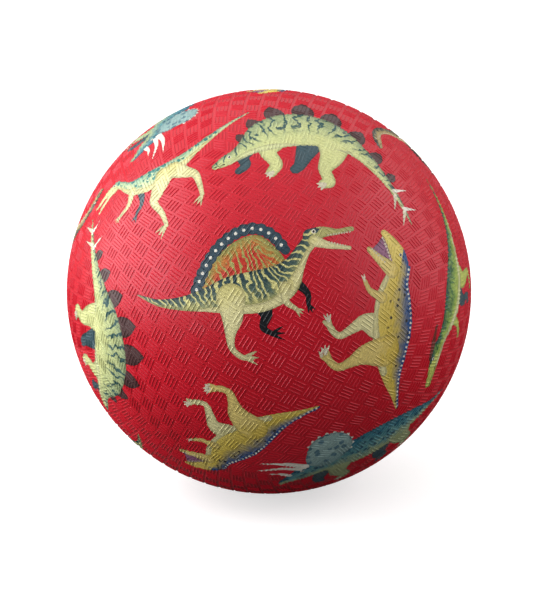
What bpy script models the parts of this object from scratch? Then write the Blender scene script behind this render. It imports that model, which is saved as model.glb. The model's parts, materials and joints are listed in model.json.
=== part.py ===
"""Playground rubber ball: moulded cover, wound carcass, bladder and needle valve.

Metres, +Z up. The origin is the ball's centre, the valve looks along +Y, and the ball
rests on a small flat, pressed into its underside by its own weight, that faces -Z.
Every piece except that flat is turned about the valve's axis.
"""

from math import asin, cos, pi, radians, sin, sqrt

import bmesh
import bpy

# The ball
BALL_RADIUS = 0.0900          # over the tops of the embossed ribs
COVER_WALL = 0.0013
CARCASS_WALL = 0.0004
BLADDER_WALL = 0.0007
LAYER_GAP = 0.0003            # clearance kept between neighbouring pieces
CONTACT_RADIUS = 0.0080       # flat where about 2.5 N rests on 12 kPa of inflation

# The valve
APERTURE_RADIUS = 0.0048      # hole through cover, patch and bladder
WINDOW_RADIUS = 0.0150        # hole in the wound carcass
FACE_RADIUS = APERTURE_RADIUS - LAYER_GAP
FACE_HEIGHT = 0.08975         # the housing's flat face, from the ball's centre
FACE_CHAMFER = 0.0002
FLANGE_RADIUS = 0.0130
FLANGE_WALL = 0.0008
NIPPLE_ROOT_RADIUS = 0.0055
NIPPLE_TIP_RADIUS = 0.0040
NIPPLE_END = 0.0720           # inner end of the housing, from the ball's centre
THROAT_RADIUS = 0.0006
THROAT_LENGTH = 0.0015
BORE_RADIUS = 0.0025
SEAT_RADIUS = 0.0032          # counterbore that takes the core's head
SEAT_DEPTH = 0.00145
CORE_RECESS = 0.0003          # how far the core's head lies below the housing's face
CORE_EDGE = 0.00025
PINHOLE_RADIUS = 0.00045
PINHOLE_MOUTH_RADIUS = 0.0008
PINHOLE_DEPTH = 0.0065

# Tessellation: the layers share one grid, so that their facets stay parallel
TURN_STEPS = 48
POLAR_STEP = radians(7.5)
SMOOTH_LIMIT = radians(32)
MERGE_DISTANCE = 1e-6

# Radii of the layers, from the outside in
COVER_INNER = BALL_RADIUS - COVER_WALL
CARCASS_OUTER = COVER_INNER - LAYER_GAP
CARCASS_INNER = CARCASS_OUTER - CARCASS_WALL
BLADDER_OUTER = CARCASS_INNER - LAYER_GAP
BLADDER_INNER = BLADDER_OUTER - BLADDER_WALL
FLANGE_OUTER = BLADDER_INNER - LAYER_GAP
FLANGE_INNER = FLANGE_OUTER - FLANGE_WALL


def rubber(name, color, roughness):
    """A plain non-metallic material."""
    material = bpy.data.materials.new(name)
    material.use_nodes = True
    shader = material.node_tree.nodes["Principled BSDF"]
    shader.inputs["Base Color"].default_value = (*color, 1.0)
    shader.inputs["Roughness"].default_value = roughness
    shader.inputs["Metallic"].default_value = 0.0
    return material


def arc(radius, start, end):
    """Points (distance from axis, height) on a sphere, from one polar angle to a larger one."""
    grid = [k * POLAR_STEP for k in range(1, round(pi / POLAR_STEP))]
    angles = [start] + [a for a in grid if start < a < end] + [end]
    return [(radius * sin(a) if a < pi else 0.0, radius * cos(a)) for a in angles]


def turned(name, profile, material):
    """A closed solid, made by turning a closed outline about the valve's axis, +Y."""
    shape = bmesh.new()
    points = [shape.verts.new((distance, height, 0.0)) for distance, height in profile]
    sides = list(zip(points, points[1:] + points[:1]))
    edges = [
        shape.edges.new(side)
        for side in sides
        if side[0].co.x > 0.0 or side[1].co.x > 0.0
    ]
    bmesh.ops.spin(
        shape,
        geom=points + edges,
        cent=(0.0, 0.0, 0.0),
        axis=(0.0, 1.0, 0.0),
        angle=2.0 * pi,
        steps=TURN_STEPS,
        use_merge=True,
    )
    bmesh.ops.remove_doubles(shape, verts=shape.verts, dist=MERGE_DISTANCE)
    bmesh.ops.recalc_face_normals(shape, faces=shape.faces)
    mesh = bpy.data.meshes.new(name)
    shape.to_mesh(mesh)
    shape.free()
    mesh.materials.append(material)
    mesh.shade_smooth()
    mesh.set_sharp_from_angle(angle=SMOOTH_LIMIT)
    piece = bpy.data.objects.new(name, mesh)
    bpy.context.collection.objects.link(piece)
    return piece


def shell(name, outer, inner, hole_radius, material):
    """A spherical layer with a round hole at the valve."""
    outside = arc(outer, asin(hole_radius / outer), pi)
    inside = arc(inner, asin(hole_radius / inner), pi)
    return turned(name, outside + inside[::-1], material)


def washer(outer, inner, hole_radius, rim_radius):
    """Outline of a spherical ring: its outer side going out, then its inner side coming back."""
    outside = arc(outer, asin(hole_radius / outer), asin(rim_radius / outer))
    inside = arc(inner, asin(hole_radius / inner), asin(rim_radius / inner))
    return outside + inside[::-1]


def press_flat(piece):
    """Cut the flat on which the ball's weight rests."""
    contact_height = sqrt(BALL_RADIUS**2 - CONTACT_RADIUS**2)
    depth = 0.010
    bpy.ops.mesh.primitive_cube_add(size=1.0, location=(0.0, 0.0, -contact_height - depth / 2))
    cutter = bpy.context.object
    cutter.name = "contact_cutter"
    cutter.scale = (4 * CONTACT_RADIUS, 4 * CONTACT_RADIUS, depth)
    cutter.hide_render = True
    cutter.display_type = "WIRE"
    cut = piece.modifiers.new("contact_flat", "BOOLEAN")
    cut.operation = "DIFFERENCE"
    cut.solver = "EXACT"
    cut.object = cutter


def housing_outline():
    """Face and stem, flange under the bladder, nipple, then back up through the bore."""
    stem = [
        (FACE_RADIUS - FACE_CHAMFER, FACE_HEIGHT),
        (FACE_RADIUS, FACE_HEIGHT - FACE_CHAMFER),
    ]
    flange_top = arc(
        FLANGE_OUTER, asin(FACE_RADIUS / FLANGE_OUTER), asin(FLANGE_RADIUS / FLANGE_OUTER)
    )
    flange_bottom = arc(
        FLANGE_INNER, asin(NIPPLE_ROOT_RADIUS / FLANGE_INNER), asin(FLANGE_RADIUS / FLANGE_INNER)
    )
    nipple = [(NIPPLE_TIP_RADIUS, NIPPLE_END)]
    bore = [
        (THROAT_RADIUS, NIPPLE_END),
        (THROAT_RADIUS, NIPPLE_END + THROAT_LENGTH),
        (BORE_RADIUS, NIPPLE_END + THROAT_LENGTH),
        (BORE_RADIUS, FACE_HEIGHT - SEAT_DEPTH),
        (SEAT_RADIUS, FACE_HEIGHT - SEAT_DEPTH),
        (SEAT_RADIUS, FACE_HEIGHT),
    ]
    return stem + flange_top + flange_bottom[::-1] + nipple + bore


def core_outline():
    """Blind pinhole, flat head, shank and rounded tip."""
    head_radius = SEAT_RADIUS - LAYER_GAP
    shank_radius = BORE_RADIUS - LAYER_GAP
    head_top = FACE_HEIGHT - CORE_RECESS
    head_bottom = FACE_HEIGHT - SEAT_DEPTH + LAYER_GAP
    tip = NIPPLE_END + THROAT_LENGTH + LAYER_GAP
    pinhole = [
        (0.0, head_top - PINHOLE_DEPTH),
        (PINHOLE_RADIUS, head_top - PINHOLE_DEPTH),
        (PINHOLE_RADIUS, head_top - CORE_EDGE),
        (PINHOLE_MOUTH_RADIUS, head_top),
    ]
    head = [
        (head_radius - CORE_EDGE, head_top),
        (head_radius, head_top - CORE_EDGE),
        (head_radius, head_bottom),
        (shank_radius, head_bottom),
    ]
    quarter = [radians(a) for a in (0, 30, 60, 90)]
    end = [
        (shank_radius * cos(a) if a < quarter[-1] else 0.0, tip + shank_radius * (1 - sin(a)))
        for a in quarter
    ]
    return pinhole + head + end


def build():
    for old in list(bpy.data.objects):
        bpy.data.objects.remove(old, do_unlink=True)
    cover_red = rubber("cover_red", (0.50, 0.018, 0.035), 0.45)
    thread = rubber("carcass_thread", (0.72, 0.70, 0.64), 0.85)
    butyl = rubber("bladder_butyl", (0.025, 0.025, 0.027), 0.55)
    valve_black = rubber("valve_black", (0.035, 0.033, 0.034), 0.50)
    plug_grey = rubber("core_grey", (0.11, 0.10, 0.10), 0.60)

    cover = shell("cover", BALL_RADIUS, COVER_INNER, APERTURE_RADIUS, cover_red)
    press_flat(cover)
    shell("carcass", CARCASS_OUTER, CARCASS_INNER, WINDOW_RADIUS, thread)
    shell("bladder", BLADDER_OUTER, BLADDER_INNER, APERTURE_RADIUS, butyl)
    patch = washer(CARCASS_OUTER, CARCASS_INNER, APERTURE_RADIUS, WINDOW_RADIUS - LAYER_GAP)
    turned("valve_patch", patch, valve_black)
    turned("valve_housing", housing_outline(), valve_black)
    turned("valve_core", core_outline(), plug_grey)


build()
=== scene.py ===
"""Playground rubber ball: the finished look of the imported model.

The cover's embossed basket weave is real relief on a sphere made of six square grids. The printed animals
are thin films of ink that lie on that relief, cut from the cover's own triangles, so that they follow every
rib. Metres, +Z up, the valve looks along +Y. The animals are drawn in millimetres on their own flat sheets.
"""
import json
from math import cos, pi, radians, sin, tau

import bpy
import numpy as np
from mathutils import Euler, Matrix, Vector

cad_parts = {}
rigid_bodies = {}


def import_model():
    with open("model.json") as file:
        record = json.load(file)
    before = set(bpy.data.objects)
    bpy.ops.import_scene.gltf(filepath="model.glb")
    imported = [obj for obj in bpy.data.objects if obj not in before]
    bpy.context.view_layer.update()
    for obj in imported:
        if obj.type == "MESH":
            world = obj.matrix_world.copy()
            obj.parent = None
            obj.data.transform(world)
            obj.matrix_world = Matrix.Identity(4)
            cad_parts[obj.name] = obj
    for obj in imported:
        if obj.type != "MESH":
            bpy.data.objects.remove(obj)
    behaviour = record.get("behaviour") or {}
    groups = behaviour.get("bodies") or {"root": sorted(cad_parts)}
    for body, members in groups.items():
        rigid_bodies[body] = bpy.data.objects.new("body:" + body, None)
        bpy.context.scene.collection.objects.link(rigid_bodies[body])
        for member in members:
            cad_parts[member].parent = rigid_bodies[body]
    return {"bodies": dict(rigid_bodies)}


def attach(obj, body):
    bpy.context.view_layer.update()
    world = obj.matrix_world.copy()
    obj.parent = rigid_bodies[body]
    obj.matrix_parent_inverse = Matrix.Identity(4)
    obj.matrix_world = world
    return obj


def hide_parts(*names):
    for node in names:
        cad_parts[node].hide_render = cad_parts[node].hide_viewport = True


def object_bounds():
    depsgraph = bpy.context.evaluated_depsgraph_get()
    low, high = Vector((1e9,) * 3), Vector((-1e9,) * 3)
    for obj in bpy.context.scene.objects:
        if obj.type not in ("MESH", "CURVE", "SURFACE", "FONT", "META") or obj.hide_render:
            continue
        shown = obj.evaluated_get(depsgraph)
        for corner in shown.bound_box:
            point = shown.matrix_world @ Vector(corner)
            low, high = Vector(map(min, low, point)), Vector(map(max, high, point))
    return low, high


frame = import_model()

CAD_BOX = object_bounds()
BODY = next(iter(frame["bodies"]))

# Sizes from the frame
BALL_RADIUS = (CAD_BOX[1][0] - CAD_BOX[0][0]) / 2
FLAT_HEIGHT = CAD_BOX[0][2]   # the flat that the ball's weight presses
MILLIMETRES = 1000            # in a metre

# The embossed weave
CELLS = 20                    # cells along each side of the six grids
RIBS = 4                      # ribs in a cell
RELIEF = 0.00030              # height of the ribs
INK = 0.00004                 # how far the ink stands above the rubber
INK_CLEARANCE = 0.00001       # how far the ink stays inside the ball's radius
WEAVE_TURN = (radians(-7), radians(30), radians(-10))
RIB_STEPS = ((0.28, 0.0), (0.42, 1.0), (0.58, 1.0), (0.72, 0.0))    # (place in the pitch, height)
STEPS = len(RIB_STEPS)        # grid lines across a rib
RIB_ROUNDING = 3.2            # how far the ribs' tops are shaded as round
WEAR = 0.05                   # a rib is lower by this share, and by up to twice it in a worn patch
FLOOR_RADIUS = BALL_RADIUS - INK - INK_CLEARANCE - RELIEF

# The smooth collar round the valve
COLLAR_RADIUS = 0.0098
COLLAR_FADE = 0.0012
VALVE_HOLE = 0.0048


# ---- The embossed sphere ----

def unit(vectors):
    return vectors / np.linalg.norm(vectors, axis=-1, keepdims=True)


def grid_lines():
    """Places of the grid's lines along a side, 0 to 1, with their cell and step inside the cell."""
    places, cells, steps = [0.0], [-1], [-1]
    for cell in range(CELLS):
        for step in range(STEPS * RIBS):
            rib, part = divmod(step, STEPS)
            places.append((cell + (rib + RIB_STEPS[part][0]) / RIBS) / CELLS)
            cells.append(cell)
            steps.append(step)
    return np.array(places + [1.0]), np.array(cells + [-1]), np.array(steps + [-1])


def weave_heights():
    """Relief at each crossing of the grid's lines, 0 to 1: the ribs turn from each cell to the next."""
    _, cells, steps = grid_lines()
    across = np.array([RIB_STEPS[s % STEPS][1] if s >= 0 else 0.0 for s in steps])
    along = np.array([0.0 if s in (-1, 0, STEPS * RIBS - 1) else 1.0 for s in steps])
    odd = (cells[:, None] + cells[None, :]) % 2 == 1
    heights = np.where(odd, across[:, None] * along[None, :], along[:, None] * across[None, :])
    heights[cells < 0, :] = 0.0
    heights[:, cells < 0] = 0.0
    return heights


X_STRIDE, Y_STRIDE = 4_000_037, 2_000_003     # wide enough that no two places share a number


def same_place(points, step=1e-7):
    """One number for each point, the same for points that round to the same step."""
    x, y, z = np.round(points / step).astype(np.int64).T
    return (x * X_STRIDE + y) * Y_STRIDE + z


def sphere_grid():
    """Directions, relief heights and triangles of the six grids, joined along their edges."""
    places, _, _ = grid_lines()
    slopes = np.tan((places - 0.5) * pi / 2)
    u, v = np.meshgrid(slopes, slopes, indexing="ij")
    n = len(places)
    corner = np.arange(n * n).reshape(n, n)
    a, b, c, d = corner[:-1, :-1], corner[1:, :-1], corner[1:, 1:], corner[:-1, 1:]
    one_face = np.concatenate([
        np.stack([a, b, c], -1).reshape(-1, 3),
        np.stack([a, c, d], -1).reshape(-1, 3),
    ])
    directions, heights, triangles = [], [], []
    for axis in range(3):
        for side in (1.0, -1.0):
            point = np.empty((n, n, 3))
            point[..., axis] = side
            point[..., (axis + 1) % 3] = u * side
            point[..., (axis + 2) % 3] = v
            directions.append(unit(point).reshape(-1, 3))
            heights.append(weave_heights().reshape(-1))
            triangles.append(one_face + len(triangles) * n * n)
    directions = np.concatenate(directions)
    _, first, merged = np.unique(same_place(directions, 1e-6), return_index=True, return_inverse=True)
    turn = np.array(Euler(WEAVE_TURN).to_matrix())
    return (
        directions[first] @ turn.T,
        np.concatenate(heights)[first],
        merged[np.concatenate(triangles)].astype(np.int64),
    )


def new_object(name, data):
    piece = bpy.data.objects.new(name, data)
    bpy.context.collection.objects.link(piece)
    return piece


def make_mesh(name, points, triangles, slots=None, normals=None):
    """A smooth-shaded object from arrays of points and triangles, with its own normals where given."""
    mesh = bpy.data.meshes.new(name)
    mesh.vertices.add(len(points))
    mesh.vertices.foreach_set("co", np.ascontiguousarray(points, dtype=np.float32).ravel())
    mesh.loops.add(3 * len(triangles))
    mesh.loops.foreach_set("vertex_index", np.ascontiguousarray(triangles, dtype=np.int32).ravel())
    mesh.polygons.add(len(triangles))
    mesh.polygons.foreach_set("loop_start", np.arange(0, 3 * len(triangles), 3, dtype=np.int32))
    if slots is not None:
        mesh.polygons.foreach_set("material_index", np.asarray(slots, dtype=np.int32))
    mesh.update(calc_edges=True)
    mesh.shade_smooth()
    if normals is not None:
        shown = np.empty(3 * len(points), dtype=np.float32)
        mesh.vertex_normals.foreach_get("vector", shown)
        shown = shown.reshape(-1, 3)
        shown[:len(normals)] = normals
        mesh.normals_split_custom_set_from_vertices(shown)
    return new_object(name, mesh)


def from_valve_axis(points):
    """Distance from the +Y axis, where the valve is; the ball's radius for points on its front half."""
    return np.where(points[:, 1] > 0, np.hypot(points[:, 0], points[:, 2]), BALL_RADIUS)


def worn_relief(directions, heights):
    """The ribs' heights as moulded: a little lower in soft patches, and fading out round the collar."""
    x, y, z = directions.T
    wide = np.sin(7 * x + 3 * z) * np.sin(9 * y - 4 * x + 1)
    narrow = np.sin(23 * z + 11 * y) * np.sin(19 * x - 2)
    patches = np.clip(wide + 0.5 * narrow, -1, 1)
    fade = np.clip((from_valve_axis(directions * BALL_RADIUS) - COLLAR_RADIUS) / COLLAR_FADE, 0, 1)
    return heights * (1 - WEAR + WEAR * patches) * fade


def rib_normals(points, triangles, directions, heights):
    """Normals that leave the floor between the ribs smooth and shade the ribs' tops as round."""
    a, b, c = (points[triangles[:, i]] for i in range(3))
    slopes = np.cross(b - a, c - a)
    corners = triangles.ravel()
    sums = [np.bincount(corners, np.repeat(slopes[:, i], 3), len(points)) for i in range(3)]
    means = unit(np.stack(sums, axis=1))
    sideways = means - (means * directions).sum(axis=1, keepdims=True) * directions
    return unit(directions + RIB_ROUNDING * heights[:, None] * sideways)


DIRECTIONS, HEIGHTS, TRIANGLES = sphere_grid()
HEIGHTS = worn_relief(DIRECTIONS, HEIGHTS)
COVER_POINTS = DIRECTIONS * (FLOOR_RADIUS + RELIEF * HEIGHTS)[:, None]
COVER_NORMALS = rib_normals(COVER_POINTS, TRIANGLES, DIRECTIONS, HEIGHTS)


# ---- Drawing: each shape is a function from points in millimetres to distance, below zero inside ----

CURVE_STEPS = 6           # points from one given place of a curve to the next


def curve(*points, closed=False):
    """Points on a smooth curve through the given ones, each (x, y) or (x, y, half-width)."""
    knots = np.array(points, float)
    if closed:
        knots = np.concatenate([knots[-1:], knots, knots[:2]])
    else:
        knots = np.concatenate([2 * knots[:1] - knots[1:2], knots, 2 * knots[-1:] - knots[-2:-1]])
    places = []
    for p0, p1, p2, p3 in zip(knots, knots[1:], knots[2:], knots[3:]):
        for t in np.arange(CURVE_STEPS) / CURVE_STEPS:
            places.append(0.5 * (
                2 * p1 + (p2 - p0) * t + (2 * p0 - 5 * p1 + 4 * p2 - p3) * t**2
                + (3 * p1 - p0 - 3 * p2 + p3) * t**3
            ))
    return np.array(places if closed else places + [knots[-2]])


SHAPE_MARGIN = 0.5        # millimetres round a shape where its exact distance is worked out


def near_only(distance, path, half_width=0.0):
    """The same shape, with only a rough distance for points outside the circle that holds its path."""
    centre = path[:, :2].mean(axis=0)
    reach = (np.hypot(*(path[:, :2] - centre).T) + half_width).max() + SHAPE_MARGIN

    def quick(p):
        rough = np.hypot(p[:, 0] - centre[0], p[:, 1] - centre[1]) - reach + SHAPE_MARGIN
        near = rough < SHAPE_MARGIN
        rough[near] = distance(p[near])
        return rough
    return quick


def from_segment(p, a, b):
    """For each place, the nearest point's share of the way from a to b, and the distance to that point."""
    step = b - a
    t = np.clip((p - a) @ step / (step @ step + 1e-12), 0, 1)
    return t, np.hypot(p[:, 0] - a[0] - t * step[0], p[:, 1] - a[1] - t * step[1])


def brush(path):
    """The area that a round brush paints along a path of (x, y, half-width)."""
    def distance(p):
        best = np.full(len(p), np.inf)
        for a, b in zip(path, path[1:]):
            t, gap = from_segment(p, a[:2], b[:2])
            best = np.minimum(best, gap - a[2] - t * (b[2] - a[2]))
        return best
    return near_only(distance, path, path[:, 2])


def limb(*points):
    """The area that a round brush paints along a smooth curve of (x, y, half-width)."""
    return brush(curve(*points))


def line(path, half_width):
    """An even line along a path of (x, y)."""
    return brush(np.column_stack([path, np.full(len(path), half_width)]))


def outline(*points):
    """The area inside a smooth closed outline."""
    path = curve(*points, closed=True)
    ends = np.roll(path, -1, axis=0)

    def distance(p):
        best, inside = np.full(len(p), np.inf), np.zeros(len(p), bool)
        for a, b in zip(path, ends):
            best = np.minimum(best, from_segment(p, a, b)[1])
            step = b - a
            spans = (a[1] > p[:, 1]) != (b[1] > p[:, 1])
            if step[1]:
                inside ^= spans & (p[:, 0] < a[0] + (p[:, 1] - a[1]) / step[1] * step[0])
        return np.where(inside, -best, best)
    return near_only(distance, path)


def run_along(path):
    """How far along a path each of its points lies."""
    return np.concatenate([[0], np.cumsum(np.hypot(*np.diff(path[:, :2], axis=0).T))])


def beads(path, radius, gap):
    """Round dots at even gaps along a path."""
    run = run_along(path)
    at = np.arange(gap / 2, run[-1], gap)
    centres = np.stack([np.interp(at, run, path[:, 0]), np.interp(at, run, path[:, 1])], axis=1)

    def distance(p):
        best = np.full(len(p), np.inf)
        for x, y in centres:
            best = np.minimum(best, np.hypot(p[:, 0] - x, p[:, 1] - y))
        return best - radius
    return near_only(distance, path, radius)


ARC_POINTS = 24
SHARP = 0.12              # half-width of a claw's tip


def arc(x, y, radius, start, end):
    """Points along a circle's arc, from one angle to another in degrees."""
    angles = np.radians(np.linspace(start, end, ARC_POINTS))
    return np.column_stack([x + radius * np.cos(angles), y + radius * np.sin(angles)])


def claws(x, y, heading, length, width, spread=28, count=3):
    """A fan of tapered claws from one place."""
    fan = []
    for i in range(count):
        angle = radians(heading + spread * (i - (count - 1) / 2))
        tip = (x + length * cos(angle), y + length * sin(angle), SHARP)
        fan.append(limb((x, y, width), ((x + tip[0]) / 2, (y + tip[1]) / 2, width * 0.8), tip))
    return union(*fan)


def leaf(x, y, heading, length, width):
    """A leaf-shaped back plate."""
    dx, dy = length * cos(radians(heading)), length * sin(radians(heading))
    return limb((x, y, 0.3 * width), (x + 0.45 * dx, y + 0.45 * dy, 0.5 * width), (x + dx, y + dy, 0.15))


def union(*shapes):
    return lambda p: np.minimum.reduce([shape(p) for shape in shapes])


def overlap(*shapes):
    return lambda p: np.maximum.reduce([shape(p) for shape in shapes])


def eye(x, y, size):
    """Layers of an eye: a dark pupil in a pale ring."""
    return [("dark", limb((x, y, 0.55 * size), (x + 0.1, y, 0.55 * size))),
            ("cream", limb((x, y, size), (x + 0.1, y, size)))]


# ---- The animals, in millimetres: a spine that the markings follow, and layers of ink, topmost first ----

def sailback():
    spine = curve((-50, 15, 0.3), (-41, 8.5, 1.5), (-30, 4.5, 3.0), (-19, 2.5, 5.0), (-8, 1, 7.8),
                  (3, -1, 8.8), (13, -0.5, 7.6), (20, 4, 4.6), (26, 9.5, 3.2), (32, 13.5, 3.2))
    ridge = curve((-23, 6.5), (-17, 14), (-9, 21), (0, 25), (9, 25), (15.5, 20), (19, 12))
    upper_jaw = limb((31, 14.5, 3.2), (37, 14.6, 2.4), (43, 13, 1.3), (48, 12.8, 1.0), (50, 12.4, 1.1))
    lower_jaw = limb((32, 12, 2.6), (37, 8.6, 1.6), (42, 6.2, 1.0), (46, 4.6, 0.9))
    near_leg = union(
        limb((-9, 0, 6.2), (-11, -8, 4.4), (-14, -14, 2.3), (-15.5, -20, 1.4), (-13, -25, 1.2),
             (-9, -27, 1.0)),
        claws(-12, -25.5, -20, 6.5, 0.8))
    near_arm = union(
        limb((14, -3, 2.6), (12.5, -8.5, 1.5), (15.5, -13, 0.9)), claws(15.5, -13, -55, 4, 0.55))
    far_leg = union(
        limb((2, -4, 5), (3, -11, 2.6), (0, -16, 1.5), (3, -20, 1.0)), claws(2, -19.5, -15, 6.5, 0.7))
    far_arm = union(limb((18, -1, 2.4), (22, -8, 1.4), (21, -13, 0.9)), claws(21, -13, -80, 3.6, 0.55))
    body = union(brush(spine), upper_jaw)
    belly = limb((-24, -1.5, 1.4), (-12, -5, 2.6), (0, -9, 3.4), (9, -8.5, 3.2), (17, -3, 2.6),
                 (23, 2.5, 1.8), (28, 7.8, 1.4), (33, 11.4, 1.2))
    membrane = outline((-25, 3), (-18, 12), (-9, 18.5), (0, 22), (9, 22), (14.5, 16), (17, 6), (4, 2),
                       (-12, 2))
    return spine, [
        *eye(33, 16, 0.95),
        ("cream", beads(curve((38, 12.7), (44, 11.9), (49, 11.3)), 0.4, 1.25)),
        ("cream", beads(curve((37.5, 10), (42, 7.4), (45.5, 5.7)), 0.4, 1.25)),
        ("pale_yellow", union(near_leg, near_arm, lower_jaw)),
        ("pale_yellow", overlap(belly, body)),
        ("sailback_skin", body),
        ("far_dark", union(far_leg, far_arm)),
        ("cream", beads(ridge, 0.72, 3.7)),
        ("sail_edge", beads(ridge, 2.7, 3.7)),
        ("sail_edge", line(ridge, 2.1)),
        ("sail", membrane),
    ]


def plated():
    spine = curve((-56, -30, 0.3), (-47, -20.5, 1.4), (-37, -11, 2.8), (-26, -2, 5.2), (-14, 4, 9.2),
                  (0, 5, 11.4), (12, 0.5, 10.0), (20, -6, 5.8), (26, -11, 3.6), (31, -14, 3.1),
                  (36, -16.5, 1.7))
    plates = [leaf(*place) for place in (
        (-41, -12, 128, 6, 4.6), (-33, -5, 122, 9, 6.4), (-24, 3, 116, 12, 8.2), (-13.5, 10, 104, 14, 9.6),
        (-2, 13, 94, 15, 10), (9, 10, 76, 13, 8.8), (17, 3, 62, 10, 7), (23, -4, 54, 6.5, 4.8))]
    spikes = [limb((x, y, 1.0), (x + dx, y + dy, SHARP)) for x, y, dx, dy in (
        (-44, -17, -7, 4.5), (-50, -23.5, -7, 3.5), (-45, -19, 0, -8), (-50.5, -25, 0, -7.5))]
    near_legs = union(
        limb((-15, 0, 8.2), (-14, -10, 5.2), (-11, -18, 3.1), (-13, -24, 2.8), (-10.5, -26, 2.2)),
        limb((11, -4, 6), (13.5, -11, 3.8), (10, -18, 2.8), (12, -22.5, 2.4)))
    far_legs = union(
        limb((-5, -3, 6), (-2, -12, 3.8), (0, -18, 2.6), (2, -20.5, 2.2)),
        limb((19, -6, 4), (24, -13, 2.8), (23, -18, 2.2), (26, -21, 1.7)))
    toes = union(claws(-11, -26, -35, 3.8, 0.9), claws(11.5, -22.5, -40, 3.6, 0.85))
    body = brush(spine)
    belly = limb((-22, -6, 1.8), (-9, -8.5, 2.8), (4, -9, 3.2), (13, -9.5, 2.8), (22, -12, 1.9),
                 (30, -16, 1.2))
    return spine, [
        *eye(30, -12.4, 0.75),
        ("dark", limb((32, -16.2, 0.22), (37, -17.2, 0.15))),
        ("cream", union(toes, *spikes)),
        ("pale_green", overlap(belly, body)),
        ("plated_skin", union(near_legs, body)),
        ("plate", union(*plates)),
        ("far_grey", far_legs),
    ]


def runner():
    spine = curve((-39, 36, 0.25), (-33, 28, 0.8), (-26, 19, 1.6), (-18, 10, 2.8), (-10, 3.5, 4.8),
                  (-1, 0.5, 5.8), (8, 0, 4.6), (14, 2, 2.8), (18.5, 5.5, 2.0), (23, 7.5, 2.3))
    upper_jaw = limb((22.5, 7.4, 2.7), (28, 6.2, 2.0), (36, 2.2, 0.7))
    lower_jaw = limb((23, 5.4, 1.7), (28, 2.4, 1.1), (33.5, -2, 0.5))
    near_leg = union(
        limb((-6, 0, 4.8), (-3, -8, 3.3), (-1.5, -12.5, 1.9), (-5.5, -19, 1.3), (-7.5, -25, 0.95)),
        claws(-7.5, -25, -38, 6.5, 0.65, spread=20))
    back_leg = union(
        limb((-10, 2, 4.4), (-16, -1, 3.0), (-21, -3.5, 1.8), (-23.5, -10, 1.2), (-24.5, -14.5, 0.9)),
        claws(-24.5, -14.5, -62, 5.5, 0.6, spread=20))
    near_arm = union(
        limb((11, -1.5, 2.0), (12.5, -8, 1.2), (17.5, -11.5, 0.8)),
        claws(17.5, -11.5, -35, 3.8, 0.45, spread=22))
    far_arm = union(
        limb((6, -3, 2.0), (5, -10, 1.2), (8, -15, 0.8)), claws(8, -15, -60, 3.6, 0.45, spread=22))
    body = union(brush(spine), upper_jaw)
    belly = limb((-26, 17, 0.8), (-18, 7.2, 1.4), (-9, -0.6, 2.2), (1, -4.8, 2.4), (9, -4, 2.2),
                 (15, 0, 1.4), (19.5, 4, 1.0))
    return spine, [
        *eye(24, 8.4, 0.7),
        ("pale_yellow", union(near_leg, back_leg, near_arm, lower_jaw)),
        ("pale_yellow", overlap(belly, body)),
        ("runner_skin", body),
        ("far_grey", far_arm),
    ]


def hunter():
    spine = curve((-45, 14, 0.3), (-37, 9.5, 2.0), (-28, 5, 4.6), (-18, 2.5, 7.8), (-6, 1.5, 10.2),
                  (5, 1.5, 9.0), (12, 3, 6.6), (19, 6, 5.2))
    ridge = curve((-44.5, 14.4), (-37, 11.2), (-28, 9.2), (-18, 10), (-6, 11.5), (5, 10.4), (12, 9.4),
                  (19, 11.3))
    head = limb((18, 6, 5.4), (24, 6, 4.6), (30, 3.2, 3.0), (34, 0.6, 1.8))
    lower_jaw = limb((18.5, 1.5, 3.6), (23, -4, 2.2), (27.5, -8.6, 1.3))
    mouth = outline((19, 2.5), (26, 1.5), (32.5, -0.5), (30, -4), (26.8, -7.5), (22.5, -4))
    near_leg = union(
        limb((-16, -1, 7.2), (-17, -11, 4.6), (-20, -17, 2.6), (-22.5, -22.5, 1.8), (-20, -27, 1.6),
             (-16, -29, 1.3)),
        limb((-20, -27, 1.4), (-17.5, -31, 0.9)))
    far_leg = union(
        limb((-5, -6, 5.8), (-3, -13, 3.4), (-6, -19, 2.1), (-8.5, -24, 1.5), (-5.5, -28, 1.3),
             (-2, -29, 1.0)),
        limb((-5.5, -27.5, 1.3), (-2.5, -31, 0.8)))
    near_arm = limb((7, -4, 2.4), (10, -10, 1.3), (14.5, -12.5, 0.9))
    talons = union(claws(-16.5, -29.3, -12, 4, 0.65), claws(-17.5, -31, -20, 2.6, 0.6, count=2),
                   claws(-2.2, -29.2, -12, 3.6, 0.6), claws(14.4, -12.5, -15, 3, 0.45, count=2))
    body = union(brush(spine), head)
    edge = line(ridge, 0.8)
    belly = limb((-26, 0.2, 1.6), (-14, -6, 2.4), (-2, -9.2, 3.0), (8, -7.4, 2.8), (15, -2.6, 2.2))
    return spine, [
        *eye(24.4, 7.4, 0.85),
        ("cream", beads(curve((22.5, 1.6), (28, 0.4), (33.4, -1.2)), 0.5, 1.35)),
        ("cream", beads(curve((21.5, -1.2), (25, -4.8), (28, -7.6)), 0.45, 1.35)),
        ("cream", beads(ridge, 0.55, 2.1)),
        ("cream", talons),
        ("hunter_limb", union(near_leg, near_arm, lower_jaw)),
        ("mouth", mouth),
        ("pale_yellow", overlap(belly, body)),
        ("hunter_skin", union(body, edge)),
        ("pale_yellow", far_leg),
    ]


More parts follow.
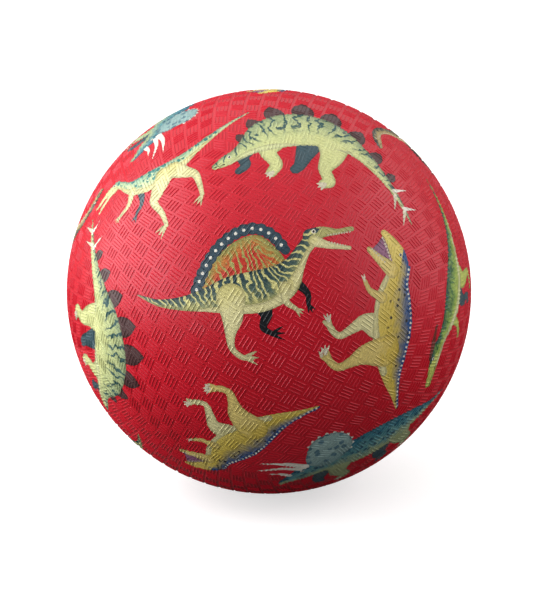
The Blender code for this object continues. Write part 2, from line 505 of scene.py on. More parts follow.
def horned():
    spine = curve((-54, -6, 0.4), (-43, -2, 2.4), (-31, 2, 6.2), (-19, 4, 9.4), (-7, 4.5, 10.2), (5, 4, 8.4),
                  (14, 3, 6.8), (22, -1, 5.4), (28, -5.5, 3.2))
    frill = limb((12, 10, 8.4), (9, 14.5, 10.2))
    studs = beads(arc(9, 14.5, 10.4, 20, 215), 0.8, 3.6)
    beak = limb((27, -5, 3.2), (31.5, -8.5, 1.9), (32.5, -11.5, 0.5))
    horns = union(
        limb((21, 5, 1.8), (29, 9.5, 1.2), (40, 11.5, 0.15)),
        limb((23.5, 3.4, 1.4), (32, 6, 1.0), (42, 5, 0.15)),
        limb((28.5, -1.5, 1.4), (32.5, 1, 0.8), (37, 1.5, 0.15)))
    near_legs = union(
        limb((-24, 0, 7), (-25, -9, 4.6), (-28, -16, 3.1), (-27, -21, 2.6)),
        limb((6, -2, 5.8), (7, -10, 3.7), (4, -16, 2.8), (5.5, -20, 2.4)))
    far_legs = union(
        limb((-15, -3, 5), (-13, -11, 3.4), (-15, -17, 2.5), (-13, -20, 2.1)),
        limb((13, -2, 4), (16, -11, 2.8), (15, -16, 2.1)))
    toes = union(claws(-26.5, -21.5, -55, 3.4, 0.9), claws(6, -20.5, -55, 3.4, 0.85))
    return spine, [
        *eye(22.5, 1.2, 0.85),
        ("cream", union(horns, toes)),
        ("frill", frill),
        ("cream", studs),
        ("horned_skin", union(near_legs, brush(spine), beak)),
        ("far_grey", far_legs),
    ]


def duckbill():
    spine = curve((-58, 8, 0.3), (-46, 5.5, 1.2), (-33, 3.5, 2.6), (-21, 2.5, 4.6), (-9, 1.5, 7.6),
                  (3, 1, 8.2), (13, 2, 5.8), (21, 4, 4.0), (28, 5, 3.9))
    head = limb((27, 5, 4.4), (34, 4, 4.1), (41, 1.4, 2.9), (45.5, -0.6, 2.2))
    crest = limb((33, 8, 2.2), (25, 11.5, 1.6), (18, 12.5, 0.8))
    near_leg = union(
        limb((-11, 0, 6.4), (-9, -10, 4.2), (-13, -16, 2.4), (-15, -21, 1.8), (-12, -25.5, 1.5)),
        claws(-12, -25.5, -18, 5, 0.85))
    far_leg = union(
        limb((-3, -3, 5), (1, -11, 3.0), (-2, -17, 2.0), (-3.5, -21, 1.5)), claws(-3.5, -21, -18, 4.6, 0.75))
    near_arm = union(limb((12, -2, 2.8), (13, -9, 1.7), (16.5, -13, 1.1)), claws(16.5, -13, -40, 3.2, 0.55))
    body = union(brush(spine), head)
    belly = limb((-36, 1.6, 1.0), (-22, -1.6, 1.8), (-9, -5.8, 2.6), (4, -6.6, 2.8), (14, -2.8, 2.2),
                 (24, 0.8, 1.6), (35, 0.6, 1.2))
    return spine, [
        *eye(33.5, 6, 0.9),
        ("dark", limb((36, 1.0, 0.3), (41, -0.6, 0.3), (45.5, -2.0, 0.2))),
        ("pale_green", overlap(belly, body)),
        ("duckbill_skin", union(near_leg, near_arm, body)),
        ("duckbill_crest", crest),
        ("far_grey", far_leg),
    ]


def longneck():
    spine = curve((-57, -4, 0.3), (-46, 1.5, 1.3), (-33, 4, 2.8), (-20, 3.5, 5.8), (-7, 2, 9.0), (5, 2, 8.0),
                  (14, 6, 4.9), (22, 12, 3.4), (30, 17, 2.7), (38, 19, 2.5), (45, 17.5, 2.7), (50, 15, 1.6))
    near_legs = union(
        limb((-14, 0, 6.6), (-14, -9, 4.6), (-17, -17, 3.1), (-15.5, -23, 2.8)),
        limb((7, 0, 5.2), (9, -10, 3.6), (7, -17, 2.7), (8.5, -22.5, 2.4)))
    far_legs = union(
        limb((-5, -2, 5), (-3, -11, 3.4), (-5, -18, 2.6), (-4, -21, 2.4)),
        limb((13, 0, 3.6), (16.5, -10, 2.7), (15.5, -17, 2.2), (16.5, -20, 2.0)))
    toes = union(claws(-15, -23.5, -45, 3.4, 0.85), claws(9, -23, -45, 3.4, 0.8))
    body = brush(spine)
    belly = limb((-36, 1.6, 1.0), (-22, -1.4, 1.9), (-8, -6, 2.6), (4, -5.2, 2.8), (13, 1.4, 2.2),
                 (22, 8.6, 1.5), (31, 14.6, 1.2), (40, 16.8, 1.0))
    return spine, [
        *eye(44.4, 18.6, 0.75),
        ("dark", limb((46.4, 15.4, 0.22), (50.6, 13.9, 0.15))),
        ("cream", toes),
        ("sand", overlap(belly, body)),
        ("longneck_skin", union(near_legs, body)),
        ("far_dark", far_legs),
    ]


# ---- Where the animals are printed ----
# (animal, longitude, latitude, heading, size, mirrored), the angles in degrees. Longitude 0 is the front and
# grows to the right. An animal with heading 0 looks to the right, and the heading grows anticlockwise.

PRINTS = (
    (sailback, -5, 17, 20, 1.0, False),
    (plated, 19, 64, 164, 1.0, True),
    (runner, -50, 44, -145, 1.0, True),
    (plated, -53, -6.5, -90, 0.95, False),
    (hunter, 35, 8, 83, 1.0, True),
    (hunter, -12, -30, -138, 0.92, False),
    (horned, 31, -39, -155, 1.0, True),
    (duckbill, 64, 7, -116, 0.9, True),
    (horned, -96, 58, -12, 0.85, False),
    (longneck, 107, 46, 165, 0.85, True),
    (longneck, -98, 8, 75, 0.95, True),
    (sailback, -84, -47, 178, 0.88, True),
    (plated, 92, -37, 62, 0.9, False),
    (hunter, 108, 4, -100, 0.9, False),
    (sailback, 161, 28, 12, 0.82, False),
    (duckbill, -138, 24, 35, 0.9, False),
    (horned, -154, -27, 165, 0.85, True),
    (runner, 150, -37, 190, 0.85, True),
    (longneck, 178, -66, 0, 0.8, False),
    (hunter, 175, 71, 80, 0.78, False),
)


# ---- Ink films, cut from the cover's own triangles ----

def quartered(triangles):
    """Each triangle (corners, channels) as four."""
    a, b, c = triangles[:, 0], triangles[:, 1], triangles[:, 2]
    ab, bc, ca = (a + b) / 2, (b + c) / 2, (c + a) / 2
    parts = ((a, ab, ca), (ab, b, bc), (ca, bc, c), (ab, bc, ca))
    return np.concatenate([np.stack(part, axis=1) for part in parts])


def split(soup, channel):
    """The parts where a channel is below zero, and the rest. soup is (triangle, corner, channel)."""
    below = soup[:, :, channel] < 0
    count = below.sum(axis=1)
    mixed = (count == 1) | (count == 2)
    tip_below = count[mixed] == 1
    lone = np.where(tip_below, below[mixed].argmax(axis=1), (~below[mixed]).argmax(axis=1))
    order = (lone[:, None] + np.arange(3)) % 3
    turned = np.take_along_axis(soup[mixed], order[:, :, None], axis=1)
    tip, b, c = turned[:, 0], turned[:, 1], turned[:, 2]

    def crossing(other):
        inner = np.where(tip_below[:, None], tip, other)
        outer = np.where(tip_below[:, None], other, tip)
        share = inner[:, channel] / (inner[:, channel] - outer[:, channel])
        return inner + (outer - inner) * share[:, None]

    tip_b, tip_c = crossing(b), crossing(c)
    tips = np.stack([tip, tip_b, tip_c], axis=1)
    bases = np.stack([tip_b, b, c], axis=1), np.stack([tip_b, c, tip_c], axis=1)
    inside = [soup[count == 3], tips[tip_below]] + [base[~tip_below] for base in bases]
    outside = [soup[count == 0], tips[~tip_below]] + [base[tip_below] for base in bases]
    return np.concatenate(inside), np.concatenate(outside)


def joined(soup):
    """Corners that share a place become one point: the points with their channels, and the triangles."""
    flat = soup.reshape(-1, soup.shape[2])
    _, first, merged = np.unique(same_place(flat[:, :3]), return_index=True, return_inverse=True)
    return flat[first], merged.reshape(-1, 3)


def still_whole(triangles):
    """Which triangles still have three different corners after their points were joined."""
    return (triangles != np.roll(triangles, 1, axis=1)).all(axis=1)


def sheet_axes(longitude, latitude, heading, mirrored):
    """The direction of a print's middle, and the directions of its sheet's x and y there."""
    lon, lat, turn = radians(longitude), radians(latitude), radians(heading)
    middle = np.array((sin(lon) * cos(lat), -cos(lon) * cos(lat), sin(lat)))
    east = np.array((cos(lon), sin(lon), 0.0))
    north = np.cross(middle, east)
    x = east * cos(turn) + north * sin(turn)
    y = north * cos(turn) - east * sin(turn)
    return middle, x, -y if mirrored else y


def on_sheet(points, middle, x, y, size):
    """Places in millimetres on the flat sheet that is wrapped onto the ball round its middle."""
    rays = unit(points)
    angle = np.arccos(np.clip(rays @ middle, -1, 1))
    across = np.stack([rays @ x, rays @ y], axis=1)
    length = np.maximum(np.linalg.norm(across, axis=1), 1e-12)
    return across * (angle / length * BALL_RADIUS * MILLIMETRES / size)[:, None]


def along_spine(spine, p):
    """How far along the spine each place lies, in millimetres, and how far across it, in half-widths."""
    run = run_along(spine)
    best, along, across = np.full(len(p), np.inf), np.zeros(len(p)), np.zeros(len(p))
    for a, b, start, end in zip(spine, spine[1:], run, run[1:]):
        step = (b - a)[:2]
        t = np.clip((p - a[:2]) @ step / (step @ step), 0, 1)
        off = p - a[:2] - t[:, None] * step
        gap = np.hypot(off[:, 0], off[:, 1])
        closer = gap < best
        side = np.sign(step[0] * off[:, 1] - step[1] * off[:, 0])
        best[closer] = gap[closer]
        along[closer] = (start + t * (end - start))[closer]
        across[closer] = (side * gap / (a[2] + t * (b[2] - a[2])))[closer]
    return along, np.clip(across, -2, 2)


FARTHEST = 62          # how far a drawing may reach from its middle, in millimetres
TRIANGLE_REACH = 0.45  # a cover triangle is used if one of its corners is this near to the drawing

# Channels of a point: x, y and z, then these
NORMAL_AT = 3          # the surface's normal
RELIEF_AT = 6          # in the cover: the rib's height
CUT_AT = 7             # in the cover: how deep inside the collar's circle
SKIN_AT = 6            # in a print: along the spine, then across it
DEPTH_AT = 8           # in a print: how deep inside its layer
LAYERS_AT = 9          # in a print: the distance to each layer


def drawn_triangles(layers, axes, size):
    """The cover's triangles that the drawing may touch."""
    near = np.flatnonzero(DIRECTIONS @ axes[0] > cos(FARTHEST * size / MILLIMETRES / BALL_RADIUS))
    places = on_sheet(COVER_POINTS[near], *axes, size)
    distance = np.minimum.reduce([shape(places) for _, shape in layers])
    touched = np.zeros(len(DIRECTIONS), bool)
    touched[near[distance < TRIANGLE_REACH / size]] = True
    return TRIANGLES[touched[TRIANGLES].any(axis=1)]


def print_animal(name, animal, longitude, latitude, heading, size, mirrored):
    """One animal's film of ink, with a material slot for each ink that it uses."""
    axes = sheet_axes(longitude, latitude, heading, mirrored)
    spine, layers = animal()
    surface = np.column_stack([COVER_POINTS, COVER_NORMALS])
    points, triangles = joined(quartered(surface[drawn_triangles(layers, axes, size)]))
    places = on_sheet(points[:, :NORMAL_AT], *axes, size)
    distances = np.stack([shape(places) for _, shape in layers], axis=1)
    along, across = along_spine(spine, places)
    channels = np.column_stack([points, along, across, np.zeros(len(points)), distances])
    rest = channels[triangles[(distances.min(axis=1) < 0)[triangles].any(axis=1)]]
    inks = list(dict.fromkeys(ink for ink, _ in layers))
    parts, slots = [], []
    for i, (ink, _) in enumerate(layers):
        part, rest = split(rest, LAYERS_AT + i)
        part[:, :, DEPTH_AT] = -part[:, :, LAYERS_AT + i]
        parts.append(part[:, :, :LAYERS_AT])
        slots.append(np.full(len(part), inks.index(ink)))
    corners, slots = np.concatenate(parts), np.concatenate(slots)
    merged, triangles = joined(corners)
    whole = still_whole(triangles)
    film = merged[:, :NORMAL_AT]
    film = film * (1 + INK / np.linalg.norm(film, axis=1, keepdims=True))
    film[:, 2] = np.maximum(film[:, 2], FLAT_HEIGHT)
    piece = make_mesh(name, film, triangles[whole], slots[whole], merged[:, NORMAL_AT:SKIN_AT])
    skin = piece.data.attributes.new("skin", "FLOAT_VECTOR", "CORNER")
    skin.data.foreach_set("vector", corners[whole][:, :, SKIN_AT:LAYERS_AT].astype(np.float32).ravel())
    for ink in inks:
        piece.data.materials.append(INKS[ink])
    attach(piece, BODY)


# ---- Materials ----

SPECULAR = 0.40        # rubber and ink are a little duller than plain plastic
RED_SHEEN = (1.0, 0.86, 1.0, 1)     # tint of the red rubber's highlights
BLOTCHES, SWAY, GRAIN, GLOSS = 260, 190, 1500, 700     # scales of the inks' noise
SOFT = 0.12            # half the width of a marking's soft edge
INKS = {}


class Nodes:
    """Short names for building a material's node tree."""

    def __init__(self, name):
        self.material = bpy.data.materials.new(name)
        self.material.use_nodes = True
        self.tree = self.material.node_tree
        self.shader = self.tree.nodes["Principled BSDF"]

    def add(self, kind, inputs=(), **settings):
        """Adds a node; inputs are (socket, value or an output to link)."""
        node = self.tree.nodes.new("ShaderNode" + kind)
        for key, value in settings.items():
            setattr(node, key, value)
        for socket, value in dict(inputs).items():
            self.feed(node.inputs[socket], value)
        return node

    def feed(self, socket, value):
        if isinstance(value, bpy.types.NodeSocket):
            self.tree.links.new(value, socket)
        else:
            socket.default_value = value

    def math(self, operation, *values):
        return self.add("Math", enumerate(values), operation=operation).outputs[0]

    def noise(self, vector, scale, detail=3.0, distortion=0.0):
        inputs = {"Vector": vector, "Scale": scale, "Detail": detail, "Distortion": distortion}
        return self.add("TexNoise", inputs).outputs[0]

    def ramp(self, factor, *stops):
        """Colours or greys along a factor, each (place, colour)."""
        node = self.add("ValToRGB", {"Fac": factor})
        while len(node.color_ramp.elements) < len(stops):
            node.color_ramp.elements.new(1.0)
        for element, (place, colour) in zip(node.color_ramp.elements, stops):
            element.position = place
            grey = isinstance(colour, (int, float))
            element.color = (colour, colour, colour, 1) if grey else (*colour, 1)
        return node.outputs[0]

    def mix(self, factor, a, b):
        node = self.add("Mix", data_type="RGBA")
        self.feed(node.inputs[0], factor)
        self.feed(node.inputs[6], (*a, 1) if isinstance(a, tuple) else a)
        self.feed(node.inputs[7], (*b, 1) if isinstance(b, tuple) else b)
        return node.outputs[2]

    def tint(self, colour, shade):
        """A colour darkened by a grey."""
        node = self.add("Mix", data_type="RGBA", blend_type="MULTIPLY")
        self.feed(node.inputs[0], 1.0)
        self.feed(node.inputs[6], colour)
        self.feed(node.inputs[7], shade)
        return node.outputs[2]

    def object_place(self):
        return self.add("TexCoord").outputs["Object"]


def toward_back(n, across, start):
    """Zero between the belly and a place, one from there to the back, with a soft edge."""
    return n.ramp(n.math("MULTIPLY_ADD", across, 0.5, 0.5), (start - SOFT, 0.0), (start + SOFT, 1.0))


def make_ink(name, low, middle, high, stripe=None, spot=None, speckle=0.25, shading=0.4, uneven=1.0,
             inward=False):
    """A printed ink: colours from belly to back, soft stripes or spots that follow the skin, and fine grain.

    stripe is (pitch in mm, width, colour, start) and spot (scale, size, colour, start), where start is the
    place between belly and back that they begin at. inward takes the colours from the edge to the middle.
    """
    n = Nodes("ink_" + name)
    place = n.object_place()
    skin = n.add("Attribute", attribute_name="skin").outputs["Vector"]
    along, across, depth = n.add("SeparateXYZ", {0: skin}).outputs
    blotch = n.noise(place, BLOTCHES, 3, 0.6)
    slope = n.math("MULTIPLY", depth, 0.13) if inward else n.math("MULTIPLY_ADD", across, 0.42, 0.5)
    level = n.math("ADD", slope, n.math("MULTIPLY", n.math("SUBTRACT", blotch, 0.5), uneven))
    colour = n.ramp(level, (0.1, low), (0.5, middle), (0.9, high))
    if stripe:
        pitch, width, ink_colour, start = stripe
        sway = n.math("MULTIPLY", n.math("SUBTRACT", n.noise(place, SWAY, 2), 0.5), 2.4 * pitch)
        phase = n.math("ADD", along, n.math("ADD", sway, n.math("MULTIPLY", across, 0.5 * pitch)))
        wave = n.math("SINE", n.math("MULTIPLY", phase, tau / pitch))
        crest = n.math("MULTIPLY_ADD", wave, 0.5, 0.5)
        band = n.ramp(crest, (1 - width - SOFT, 0.0), (1 - width + SOFT, 1.0))
        colour = n.mix(n.math("MULTIPLY", band, toward_back(n, across, start)), colour, ink_colour)
    if spot:
        scale, size, ink_colour, start = spot
        cells = n.add("TexVoronoi", {"Vector": place, "Scale": scale, "Randomness": 0.8}).outputs["Distance"]
        dots = n.ramp(cells, (size, 1.0), (size + 0.08, 0.0))
        colour = n.mix(n.math("MULTIPLY", dots, toward_back(n, across, start)), colour, ink_colour)
    grain = n.ramp(n.noise(place, GRAIN, 2), (0.3, 1 - speckle), (0.7, 1.0))
    edge = n.ramp(n.math("ADD", n.math("MULTIPLY", depth, 0.45), n.math("MULTIPLY", blotch, 0.3)),
                  (0.1, 1 - shading), (0.75, 1.0))
    n.feed(n.shader.inputs["Base Color"], n.tint(n.tint(colour, grain), edge))
    n.feed(n.shader.inputs["Roughness"], n.ramp(n.noise(place, GLOSS, 3), (0.3, 0.32), (0.7, 0.45)))
    n.shader.inputs["Specular IOR Level"].default_value = SPECULAR
    INKS[name] = n.material


make_ink("dark", (0.01, 0.012, 0.015), (0.012, 0.014, 0.018), (0.015, 0.02, 0.03))
make_ink("cream", (0.74, 0.68, 0.50), (0.84, 0.79, 0.62), (0.90, 0.87, 0.76), speckle=0.12, shading=0.15)
make_ink("pale_yellow", (0.82, 0.77, 0.40), (0.76, 0.70, 0.29), (0.58, 0.53, 0.18))
make_ink("pale_green", (0.74, 0.77, 0.40), (0.66, 0.71, 0.32), (0.54, 0.60, 0.23))
make_ink("sand", (0.72, 0.60, 0.34), (0.64, 0.50, 0.24), (0.50, 0.38, 0.17))
make_ink(
    "sailback_skin", (0.50, 0.48, 0.17), (0.10, 0.16, 0.12), (0.018, 0.055, 0.07),
    stripe=(3.1, 0.24, (0.74, 0.70, 0.28), 0.25))
make_ink(
    "sail", (0.34, 0.32, 0.08), (0.56, 0.20, 0.04), (0.58, 0.04, 0.02), shading=0.3, inward=True,
    stripe=(3.0, 0.24, (0.42, 0.40, 0.12), 0.3))
make_ink("sail_edge", (0.012, 0.035, 0.065), (0.02, 0.05, 0.08), (0.03, 0.07, 0.10))
make_ink("far_dark", (0.006, 0.010, 0.014), (0.010, 0.017, 0.024), (0.02, 0.035, 0.045))
make_ink("far_grey", (0.05, 0.10, 0.12), (0.08, 0.15, 0.17), (0.13, 0.21, 0.21))
make_ink(
    "plated_skin", (0.72, 0.75, 0.33), (0.60, 0.66, 0.30), (0.34, 0.42, 0.22), shading=0.45,
    stripe=(4.6, 0.17, (0.03, 0.10, 0.10), 0.45))
make_ink("plate", (0.34, 0.05, 0.045), (0.16, 0.05, 0.045), (0.085, 0.035, 0.035), shading=0.5)
make_ink(
    "runner_skin", (0.78, 0.78, 0.38), (0.60, 0.69, 0.38), (0.30, 0.50, 0.34),
    spot=(400, 0.38, (0.04, 0.25, 0.22), 0.38))
make_ink(
    "hunter_skin", (0.80, 0.64, 0.15), (0.72, 0.55, 0.09), (0.016, 0.085, 0.27),
    spot=(300, 0.17, (0.03, 0.03, 0.03), 0.35), shading=0.25, uneven=0.4)
make_ink("hunter_limb", (0.82, 0.66, 0.22), (0.76, 0.58, 0.11), (0.62, 0.46, 0.08), shading=0.4)
make_ink("mouth", (0.30, 0.12, 0.22), (0.50, 0.28, 0.42), (0.60, 0.38, 0.50))
make_ink(
    "horned_skin", (0.42, 0.50, 0.26), (0.13, 0.34, 0.36), (0.03, 0.18, 0.26),
    spot=(330, 0.34, (0.02, 0.10, 0.15), 0.3), shading=0.4)
make_ink(
    "frill", (0.14, 0.28, 0.28), (0.24, 0.40, 0.40), (0.32, 0.48, 0.46), shading=0.4,
    spot=(260, 0.3, (0.10, 0.21, 0.26), 0.0))
make_ink(
    "duckbill_skin", (0.54, 0.62, 0.14), (0.30, 0.46, 0.09), (0.03, 0.11, 0.09), shading=0.45,
    stripe=(3.6, 0.2, (0.07, 0.19, 0.06), 0.45))
make_ink("duckbill_crest", (0.5, 0.12, 0.03), (0.34, 0.06, 0.03), (0.2, 0.03, 0.02))
make_ink(
    "longneck_skin", (0.58, 0.46, 0.20), (0.38, 0.29, 0.12), (0.10, 0.13, 0.11), shading=0.45,
    stripe=(5.0, 0.3, (0.05, 0.05, 0.045), 0.5))


def make_rubber(name, dark, light, roughness, ribs=False):
    """Moulded rubber: slightly uneven colour and gloss, with a fine skin; ribs paints the relief's tops
    lighter, partly as wear and partly as a painted highlight, and the floor between them darker as painted
    shade.
    """
    n = Nodes(name)
    place = n.object_place()
    cloud, fine = n.noise(place, 22, 3), n.noise(place, 900, 4)
    level = n.math("MULTIPLY_ADD", cloud, 0.7, n.math("MULTIPLY", fine, 0.3))
    if ribs:
        # painted highlight on the ribs' tops and painted shade on the floor between them, partly wear
        height = n.add("Attribute", attribute_name="relief").outputs["Fac"]
        level = n.math("ADD", level, n.math("MULTIPLY_ADD", height, 0.3, -0.15))
    n.feed(n.shader.inputs["Base Color"], n.ramp(level, (0.25, dark), (0.75, light)))
    sheen_map = n.math("MULTIPLY_ADD", n.noise(place, 60, 3), 0.5, n.math("MULTIPLY", fine, 0.5))
    n.feed(n.shader.inputs["Roughness"], n.ramp(sheen_map, (0.3, roughness - 0.06), (0.7, roughness + 0.08)))
    skin = n.add("Bump", {"Strength": 0.25, "Distance": 0.00004, "Height": n.noise(place, 2600, 3)})
    n.feed(n.shader.inputs["Normal"], skin.outputs[0])
    n.shader.inputs["Specular IOR Level"].default_value = SPECULAR
    return n.material


THREAD_TURNS = ((0.3, 0.5, 0.0), (-0.6, 0.2, 0.9))     # radians, for the two ways the thread is wound


def make_thread(name, light, dark):
    """Wound thread in latex: fine crossing strands."""
    n = Nodes(name)
    place = n.object_place()
    strands = []
    for turn in THREAD_TURNS:
        turned = n.add("Mapping", {"Vector": place, "Rotation": turn}).outputs[0]
        look = {"Vector": turned, "Scale": 420, "Distortion": 1.5, "Detail": 2.0}
        strands.append(n.add("TexWave", look, wave_type="BANDS").outputs["Fac"])
    weave = n.math("MAXIMUM", *strands)
    n.feed(n.shader.inputs["Base Color"], n.ramp(weave, (0.2, dark), (0.8, light)))
    n.feed(n.shader.inputs["Roughness"], n.ramp(weave, (0.0, 0.6), (1.0, 0.85)))
    bump = n.add("Bump", {"Strength": 0.4, "Distance": 0.0001, "Height": weave})
    n.feed(n.shader.inputs["Normal"], bump.outputs[0])
    return n.material


# ---- The cover ----

# The collar's section from its edge to the valve hole: (distance from the valve's axis, height above the
# floor of the relief)
COLLAR_SECTION = ((0.0094, 0.0), (0.0079, 0.0), (0.0076, 0.00012), (0.0073, 0.0002), (0.0069, 0.0002),
                  (0.0066, 0.00012), (0.0063, 0.0), (0.0054, 0.0), (0.0050, -0.00008))
HOLE_ROUNDING = 0.00025       # how far the hole's wall starts below the collar's section
COVER_INSIDE = 0.0887         # radius of the cover's inside
INSIDE_RINGS = 24


def collar_rings():
    """Each ring from the collar's edge to the far pole: (distance from the valve's axis, place along it)."""
    rings = [(r, np.sqrt((FLOOR_RADIUS + lift)**2 - r**2)) for r, lift in COLLAR_SECTION]
    hole_angle = VALVE_HOLE / COVER_INSIDE
    rings.append((VALVE_HOLE, rings[-1][1] - HOLE_ROUNDING))
    rings.append((VALVE_HOLE, COVER_INSIDE * cos(hole_angle)))
    for i in range(1, INSIDE_RINGS):
        angle = hole_angle + (pi - hole_angle) * i / INSIDE_RINGS
        rings.append((COVER_INSIDE * sin(angle), COVER_INSIDE * cos(angle)))
    return rings


def trimmed_weave():
    """The embossed outside, cut round at the valve's collar: its points' channels, and its triangles."""
    near = (from_valve_axis(DIRECTIONS * BALL_RADIUS) < 2 * COLLAR_RADIUS)[TRIANGLES].any(axis=1)
    channels = np.column_stack([
        COVER_POINTS, COVER_NORMALS, HEIGHTS, COLLAR_RADIUS - from_valve_axis(COVER_POINTS),
    ])
    kept, _ = split(channels[TRIANGLES[near]], CUT_AT)
    return joined(np.concatenate([channels[TRIANGLES[~near]], kept])[:, :, :CUT_AT])


def edge_ring(points, triangles):
    """The points on the open edge, in order round the valve's axis."""
    starts, ends = triangles.ravel(), np.roll(triangles, -1, axis=1).ravel()
    forward, backward = starts * len(points) + ends, ends * len(points) + starts
    ring = starts[~np.isin(forward, backward)]
    return ring[np.argsort(np.arctan2(points[ring, 0], points[ring, 2]))]


def make_cover():
    """The whole cover as one closed skin: weave, collar, valve hole and inside."""
    channels, triangles = trimmed_weave()
    triangles = triangles[still_whole(triangles)]
    points, relief = channels[:, :NORMAL_AT], channels[:, RELIEF_AT]
    normals = channels[:, NORMAL_AT:RELIEF_AT]
    points[:, 2] = np.maximum(points[:, 2], FLAT_HEIGHT)
    ring = edge_ring(points, triangles)
    angles = np.arctan2(points[ring, 0], points[ring, 2])
    following = np.roll(np.arange(len(ring)), -1)
    for radius, along in collar_rings():
        x, z = radius * np.sin(angles), radius * np.cos(angles)
        inner = np.column_stack([x, np.full(len(ring), along), z])
        fresh = np.arange(len(ring)) + len(points)
        triangles = np.concatenate([
            triangles,
            np.stack([ring, ring[following], fresh], axis=1),
            np.stack([ring[following], fresh[following], fresh], axis=1),
        ])
        points, ring = np.concatenate([points, inner]), fresh
    pole = np.full(len(ring), len(points))
    triangles = np.concatenate([triangles, np.stack([ring, ring[following], pole], axis=1)])
    points = np.concatenate([points, [(0, -COVER_INSIDE, 0)]])
    cover = make_mesh("cover_skin", points, triangles, normals=normals)
    # the ribs' heights, which the red rubber uses to paint a highlight on their tops and shade on the floor
    # between them, partly as wear
    heights = np.concatenate([relief, np.zeros(len(points) - len(relief))])
    shown = cover.data.attributes.new("relief", "FLOAT", "POINT")
    shown.data.foreach_set("value", heights.astype(np.float32))
    rubber = make_rubber("red_rubber", (0.54, 0.005, 0.015), (0.62, 0.009, 0.025), 0.37, ribs=True)
    rubber.node_tree.nodes["Principled BSDF"].inputs["Specular Tint"].default_value = RED_SHEEN
    cover.data.materials.append(rubber)
    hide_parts("cover")
    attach(cover, BODY)


def finish_cad_nodes():
    """The valve and the inner layers keep their CAD shapes and get their own materials."""
    finishes = {
        "valve_housing": make_rubber("valve_rubber", (0.018, 0.018, 0.019), (0.035, 0.034, 0.034), 0.5),
        "valve_core": make_rubber("core_rubber", (0.03, 0.03, 0.031), (0.06, 0.058, 0.056), 0.4),
        "bladder": make_rubber("bladder_butyl", (0.015, 0.015, 0.016), (0.03, 0.03, 0.03), 0.55),
        "valve_patch": make_rubber("patch_butyl", (0.02, 0.02, 0.02), (0.04, 0.04, 0.04), 0.6),
        "carcass": make_thread("carcass_thread", (0.62, 0.58, 0.46), (0.38, 0.34, 0.25)),
    }
    for node, material in finishes.items():
        for slot in bpy.data.objects[node].material_slots:
            slot.material = material


def make_prints():
    for number, placed in enumerate(PRINTS, 1):
        print_animal(f"print_{number:02d}_{placed[0].__name__}", *placed)


# ---- The stage ----

PAPER_GLOW = 0.60      # how far the paper shines by itself, so that its shadow stays pale
PAPER_GREY = 0.62
PAPER_BOUNCE = 0.1     # the paper's grey as the ball sees it
SKY_LIGHT = 0.16       # the world's strength as the ball sees it


def soft_light(name, place, size, power, color=(1, 1, 1)):
    """A square lamp that faces the ball."""
    lamp = bpy.data.lights.new(name, "AREA")
    lamp.size = size
    lamp.energy = power
    lamp.color = color
    holder = new_object(name, lamp)
    holder.location = place
    holder.rotation_euler = (-Vector(place)).to_track_quat("-Z", "Y").to_euler()


def camera_only(tree, seen, unseen):
    """Mixes two shaders: the first is what the camera sees, the second what lights the ball."""
    path = tree.nodes.new("ShaderNodeLightPath")
    mix = tree.nodes.new("ShaderNodeMixShader")
    tree.links.new(path.outputs["Is Camera Ray"], mix.inputs[0])
    tree.links.new(unseen, mix.inputs[1])
    tree.links.new(seen, mix.inputs[2])
    return mix.outputs[0]


def plain_shader(tree, kind, grey, strength=None):
    node = tree.nodes.new("ShaderNode" + kind)
    node.inputs["Color"].default_value = (grey, grey, grey, 1)
    if strength is not None:
        node.inputs["Strength"].default_value = strength
    return node.outputs[0]


def make_floor():
    """Pale paper that shows only a soft shadow and throws little light back at the ball."""
    bpy.ops.mesh.primitive_plane_add(size=6, location=(0, 0, FLAT_HEIGHT))
    floor = bpy.context.object
    floor.name = "floor"
    paper = bpy.data.materials.new("floor_paper")
    paper.use_nodes = True
    tree = paper.node_tree
    lit = tree.nodes.new("ShaderNodeAddShader")
    tree.links.new(plain_shader(tree, "Emission", 1.0, PAPER_GLOW), lit.inputs[0])
    tree.links.new(plain_shader(tree, "BsdfDiffuse", PAPER_GREY), lit.inputs[1])
    surface = camera_only(tree, lit.outputs[0], plain_shader(tree, "BsdfDiffuse", PAPER_BOUNCE))
    tree.links.new(surface, tree.nodes["Material Output"].inputs["Surface"])
    floor.data.materials.append(paper)


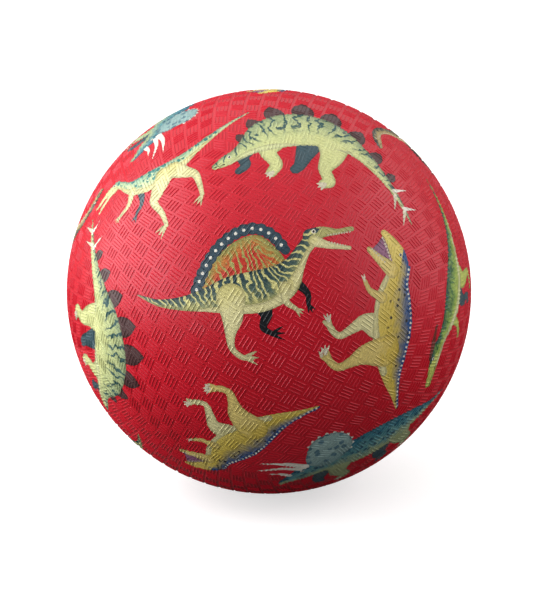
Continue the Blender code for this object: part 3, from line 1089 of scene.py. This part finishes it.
def make_world():
    """A white background that lights the ball only a little."""
    world = bpy.data.worlds.new("studio")
    world.use_nodes = True
    tree = world.node_tree
    seen = plain_shader(tree, "Background", 1.0, 1.0)
    sky = camera_only(tree, seen, plain_shader(tree, "Background", 1.0, SKY_LIGHT))
    tree.links.new(sky, tree.nodes["World Output"].inputs["Surface"])
    bpy.context.scene.world = world


def overhead_light(name, toward, strength, spread):
    """A wide soft light from far away."""
    sun = bpy.data.lights.new(name, "SUN")
    sun.energy = strength
    sun.angle = spread
    holder = new_object(name, sun)
    holder.rotation_euler = Vector(toward).to_track_quat("Z", "Y").to_euler()


def make_stage():
    make_floor()
    make_world()
    overhead_light("overhead", (0.06, 0.2, 1.0), 1.95, radians(120))
    soft_light("left_panel", (-1.2, 0.04, 0.48), 1.35, 26)
    soft_light("right_panel", (1.25, -0.1, 0.30), 1.8, 17, (1.0, 0.94, 0.93))
    soft_light("front_fill", (-1.1, -1.0, 0.12), 1.2, 10)
    bpy.context.scene.view_settings.view_transform = "Standard"


# ---- The camera ----

CAMERA_DISTANCE = 1.25
CAMERA_ELEVATION = radians(17)
SENSOR_HEIGHT = 24
PICTURE_SHAPE = 10 / 11      # the picture's width over its height
BALL_SHARE = 0.75            # the ball's width over the picture's width
SHIFT = (0.00168, -0.00926)  # how far the view is moved across and up, over the picture's height


def make_camera():
    camera = bpy.data.cameras.new("camera")
    holder = new_object("camera", camera)
    holder.location = (
        0,
        -CAMERA_DISTANCE * cos(CAMERA_ELEVATION),
        CAMERA_DISTANCE * sin(CAMERA_ELEVATION),
    )
    holder.rotation_euler = (pi / 2 - CAMERA_ELEVATION, 0, 0)
    half_angle = np.arcsin(BALL_RADIUS / CAMERA_DISTANCE)
    camera.sensor_fit = "VERTICAL"
    camera.sensor_height = SENSOR_HEIGHT
    # lens so that the ball's outline takes its share of the picture's width
    camera.lens = BALL_SHARE / 2 * PICTURE_SHAPE * SENSOR_HEIGHT / np.tan(half_angle)
    camera.shift_x, camera.shift_y = SHIFT
    bpy.context.scene.camera = holder


finish_cad_nodes()
make_cover()
make_prints()
make_stage()
make_camera()
